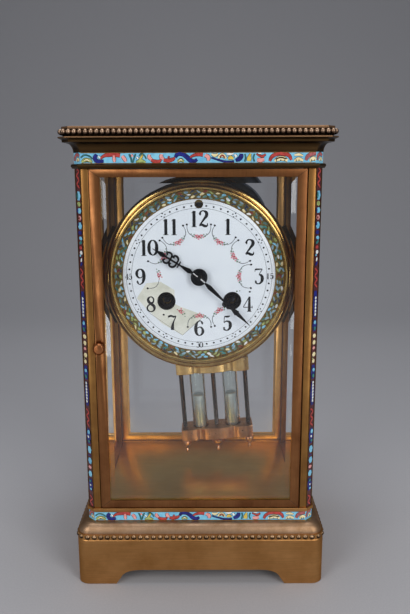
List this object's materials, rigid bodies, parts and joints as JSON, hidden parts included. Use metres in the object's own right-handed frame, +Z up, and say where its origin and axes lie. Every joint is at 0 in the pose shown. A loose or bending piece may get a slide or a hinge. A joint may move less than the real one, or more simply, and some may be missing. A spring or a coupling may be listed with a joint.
{
  "type": "glazed cage clock",
  "caption": "Glazed four-post cage clock on a moulded base with bracket feet, enamel bands, round dial, hinged glass doors and a swinging two-tube pendulum.",
  "frame": {"origin": "centre of the footprint on the ground, under the four bracket feet", "axes": "+X to the right of a viewer facing the dial, +Y to the rear (the dial faces -Y), +Z up"},
  "size_m": [0.1562, 0.1258, 0.2784],
  "materials": {
    "gilt_brass": "satin brushed gilt brass with brighter rubbed edges",
    "blue_enamel": "champleve enamel on brass, sky blue ground with coloured scrolls",
    "red_enamel": "champleve enamel strip, red-brown with blue and white motifs",
    "bronze_cornice": "dark patinated brass with lighter worn lines",
    "copper_gilt_frames": "copper-coloured gilt, smooth satin",
    "bevelled_glass": "clear plate glass with polished bevels",
    "tube_glass": "clear drawn tube",
    "dark_floor": "dull dark brass sheet",
    "polished_gilt": "polished gilt brass",
    "olive_enamel": "champleve enamel ring, olive-gold ground with coloured motifs",
    "white_dial": "white porcelain enamel with fired black figures and painted swags",
    "movement_brass": "lacquered rolled brass, straight grained",
    "polished_steel": "hardened and polished steel",
    "black_hands": "black oxidised steel, satin",
    "bell_metal": "nickelled bell metal, turned",
    "mercury": "bright liquid-metal filling"
  },
  "bodies": {
    "case": {"movement_ring": "bronze_cornice", "ring_bracket_right": "copper_gilt_frames", "ring_bracket_left": "copper_gilt_frames", "bezel": "polished_gilt", "dial_enamel_ring": "olive_enamel", "dial": "white_dial", "front_plate": "movement_brass", "back_plate": "movement_brass", "bell": "bell_metal", "suspension_cock": "movement_brass", "base_casting": "gilt_brass", "base_enamel_band": "blue_enamel", "floor_plate": "dark_floor", "post_front_right": "gilt_brass", "post_enamel_front_right": "red_enamel", "post_front_left": "gilt_brass", "post_enamel_front_left": "red_enamel", "post_rear_right": "gilt_brass", "post_enamel_rear_right": "red_enamel", "post_rear_left": "gilt_brass", "post_enamel_rear_left": "red_enamel", "cap_cornice": "bronze_cornice", "cap_enamel_band": "blue_enamel", "side_frame_right": "copper_gilt_frames", "side_glass_right": "bevelled_glass", "side_frame_left": "copper_gilt_frames", "side_glass_left": "bevelled_glass"},
    "front_door": {"front_door_frame": "copper_gilt_frames", "front_door_glass": "bevelled_glass"},
    "front_knob": {"front_door_knob": "polished_gilt"},
    "rear_door": {"rear_door_frame": "copper_gilt_frames", "rear_door_glass": "bevelled_glass"},
    "rear_knob": {"rear_door_knob": "polished_gilt"},
    "centre_arbor": {"centre_wheel": "movement_brass", "cannon_pinion": "polished_steel", "minute_hand": "black_hands"},
    "going_barrel_wheel": {"going_barrel": "movement_brass"},
    "going_key_arbor": {"going_winding_arbor": "polished_steel"},
    "strike_barrel_wheel": {"strike_barrel": "movement_brass"},
    "strike_key_arbor": {"strike_winding_arbor": "polished_steel"},
    "going_intermediate": {"going_intermediate_wheel": "movement_brass"},
    "third_arbor": {"third_wheel": "movement_brass"},
    "escape_arbor": {"escape_wheel": "movement_brass"},
    "minute_wheel_pair": {"minute_wheel": "movement_brass"},
    "hour_wheel_pair": {"hour_wheel": "movement_brass", "hour_hand": "black_hands"},
    "strike_intermediate": {"strike_intermediate_wheel": "movement_brass"},
    "strike_pin_wheel": {"pin_wheel": "movement_brass"},
    "strike_hammer": {"hammer": "polished_steel"},
    "regulator": {"regulator_arbor": "polished_steel"},
    "anchor_and_crutch": {"pallet_anchor": "polished_steel"},
    "pendulum": {"pendulum_rod": "polished_steel", "pendulum_top_bracket": "polished_gilt", "pendulum_bottom_bracket": "copper_gilt_frames", "tie_rod_left": "polished_steel", "tie_rod_right": "polished_steel", "mercury_tube_left": "tube_glass", "mercury_left": "mercury", "mercury_tube_right": "tube_glass", "mercury_right": "mercury"}
  },
  "joints": [
    {"name": "front_door_swing", "type": "hinge", "parent": "case", "child": "front_door", "pos_m": [0.06, -0.0535, 0.1515], "axis": [0, 0, 1], "range_deg": [0, 95]},
    {"name": "front_knob_turn", "type": "hinge", "parent": "front_door", "child": "front_knob", "pos_m": [-0.05925, -0.0551, 0.1517], "axis": [0, 1, 0], "range_deg": [-90, 0]},
    {"name": "rear_door_swing", "type": "hinge", "parent": "case", "child": "rear_door", "pos_m": [-0.06, 0.0535, 0.1515], "axis": [0, 0, 1], "range_deg": [0, 95]},
    {"name": "rear_knob_turn", "type": "hinge", "parent": "rear_door", "child": "rear_knob", "pos_m": [0.05925, 0.0551, 0.1517], "axis": [0, 1, 0], "range_deg": [0, 90]},
    {"name": "centre_turn", "type": "hinge", "parent": "case", "child": "centre_arbor", "pos_m": [0, 0, 0.1923], "axis": [0, 1, 0], "continuous": true},
    {"name": "going_barrel_turn", "type": "hinge", "parent": "case", "child": "going_barrel_wheel", "pos_m": [0.0198, 0, 0.1775], "axis": [0, 1, 0], "continuous": true},
    {"name": "going_winding_turn", "type": "hinge", "parent": "case", "child": "going_key_arbor", "pos_m": [0.0198, 0, 0.1775], "axis": [0, 1, 0], "continuous": true},
    {"name": "strike_barrel_turn", "type": "hinge", "parent": "case", "child": "strike_barrel_wheel", "pos_m": [-0.0198, 0, 0.1775], "axis": [0, 1, 0], "continuous": true},
    {"name": "strike_winding_turn", "type": "hinge", "parent": "case", "child": "strike_key_arbor", "pos_m": [-0.0198, 0, 0.1775], "axis": [0, 1, 0], "continuous": true},
    {"name": "going_intermediate_turn", "type": "hinge", "parent": "case", "child": "going_intermediate", "pos_m": [0.01561, 0, 0.19808], "axis": [0, 1, 0], "continuous": true},
    {"name": "third_turn", "type": "hinge", "parent": "case", "child": "third_arbor", "pos_m": [-0.00918, 0, 0.20536], "axis": [0, 1, 0], "continuous": true},
    {"name": "escape_turn", "type": "hinge", "parent": "case", "child": "escape_arbor", "pos_m": [0, 0, 0.2155], "axis": [0, 1, 0], "continuous": true},
    {"name": "minute_wheel_turn", "type": "hinge", "parent": "case", "child": "minute_wheel_pair", "pos_m": [0, 0, 0.1803], "axis": [0, 1, 0], "continuous": true},
    {"name": "hour_turn", "type": "hinge", "parent": "case", "child": "hour_wheel_pair", "pos_m": [0, 0, 0.1923], "axis": [0, 1, 0], "continuous": true},
    {"name": "strike_intermediate_turn", "type": "hinge", "parent": "case", "child": "strike_intermediate", "pos_m": [-0.02698, 0, 0.19723], "axis": [0, 1, 0], "continuous": true},
    {"name": "pin_wheel_turn", "type": "hinge", "parent": "case", "child": "strike_pin_wheel", "pos_m": [-0.02375, 0, 0.20929], "axis": [0, 1, 0], "continuous": true},
    {"name": "hammer_swing", "type": "hinge", "parent": "case", "child": "strike_hammer", "pos_m": [-0.0145, 0, 0.2208], "axis": [0, 1, 0], "range_deg": [-12, 0]},
    {"name": "regulator_turn", "type": "hinge", "parent": "case", "child": "regulator", "pos_m": [0, 0, 0.2347], "axis": [0, 1, 0], "range_deg": [-180, 180]},
    {"name": "pendulum_swing", "type": "hinge", "parent": "case", "child": "pendulum", "pos_m": [0, 0.015, 0.23], "axis": [0, 1, 0], "range_deg": [-1.7, 10.3]},
    {"name": "anchor_swing", "type": "hinge", "parent": "case", "child": "anchor_and_crutch", "pos_m": [0, 0, 0.23], "axis": [0, 1, 0], "range_deg": [-1.7, 10.3]}
  ],
  "couplings": [
    {"joint": "going_intermediate_turn", "follows": "centre_turn", "ratio": -0.14286},
    {"joint": "going_barrel_turn", "follows": "centre_turn", "ratio": 0.02381},
    {"joint": "third_turn", "follows": "centre_turn", "ratio": -11.667},
    {"joint": "escape_turn", "follows": "centre_turn", "ratio": 136.11},
    {"joint": "minute_wheel_turn", "follows": "centre_turn", "ratio": -0.33333},
    {"joint": "hour_turn", "follows": "centre_turn", "ratio": 0.083333},
    {"joint": "strike_intermediate_turn", "follows": "strike_barrel_turn", "ratio": -6},
    {"joint": "pin_wheel_turn", "follows": "strike_barrel_turn", "ratio": 30},
    {"joint": "anchor_swing", "follows": "pendulum_swing", "ratio": 1}
  ]
}
